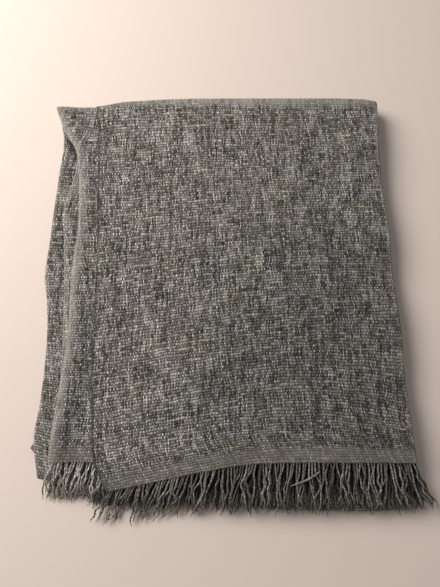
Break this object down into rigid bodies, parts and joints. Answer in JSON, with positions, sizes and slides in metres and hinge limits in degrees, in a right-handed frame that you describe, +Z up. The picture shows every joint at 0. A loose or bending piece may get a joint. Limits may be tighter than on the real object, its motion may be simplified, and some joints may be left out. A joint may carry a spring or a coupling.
{
  "type": "camp blanket",
  "caption": "Fringed wool camp blanket, folded into thirds across and twice along, with a last fold that opens.",
  "frame": {"origin": "middle of the footprint, on the ground plane", "axes": "+Z up through the stack, +Y towards the last fold, away from the fringe; +X to the right seen from above with the fringe nearest"},
  "size_m": [0.498, 0.6003, 0.0309],
  "materials": {
    "cloth": "matt coarse plain weave, charcoal and grey melange wool",
    "fold": "matt coarse plain weave, turned over at a fold",
    "fringe": "matt twisted wool strands"
  },
  "bodies": {
    "lower_half": {"quarter_2_inner": "cloth", "quarter_2_middle": "cloth", "quarter_2_flap": "cloth", "quarter_2_left_crease": "fold", "quarter_2_right_crease": "fold", "quarter_3_inner": "cloth", "quarter_3_middle": "cloth", "quarter_3_flap": "cloth", "quarter_3_left_crease": "fold", "quarter_3_right_crease": "fold", "first_fold_inner": "fold", "first_fold_middle": "fold", "first_fold_flap": "fold", "last_fold_outer_inner": "fold", "last_fold_outer_middle": "fold", "last_fold_outer_flap": "fold", "last_fold_inner_inner": "fold", "last_fold_inner_middle": "fold", "last_fold_inner_flap": "fold"},
    "upper_half": {"quarter_1_inner": "cloth", "quarter_1_middle": "cloth", "quarter_1_flap": "cloth", "quarter_1_left_crease": "fold", "quarter_1_right_crease": "fold", "quarter_1_inner_fringe": "fringe", "quarter_1_middle_fringe": "fringe", "quarter_1_flap_fringe": "fringe", "quarter_4_inner": "cloth", "quarter_4_middle": "cloth", "quarter_4_flap": "cloth", "quarter_4_left_crease": "fold", "quarter_4_right_crease": "fold", "quarter_4_inner_fringe": "fringe", "quarter_4_middle_fringe": "fringe", "quarter_4_flap_fringe": "fringe"}
  },
  "joints": [
    {"name": "last_fold", "type": "hinge", "parent": "lower_half", "child": "upper_half", "pos_m": [0, 0.28528, 0.01545], "axis": [-1, 0, 0], "range_deg": [0, 180], "deforming": ["last_fold_outer_inner", "last_fold_outer_middle", "last_fold_outer_flap", "last_fold_inner_inner", "last_fold_inner_middle", "last_fold_inner_flap"]}
  ]
}
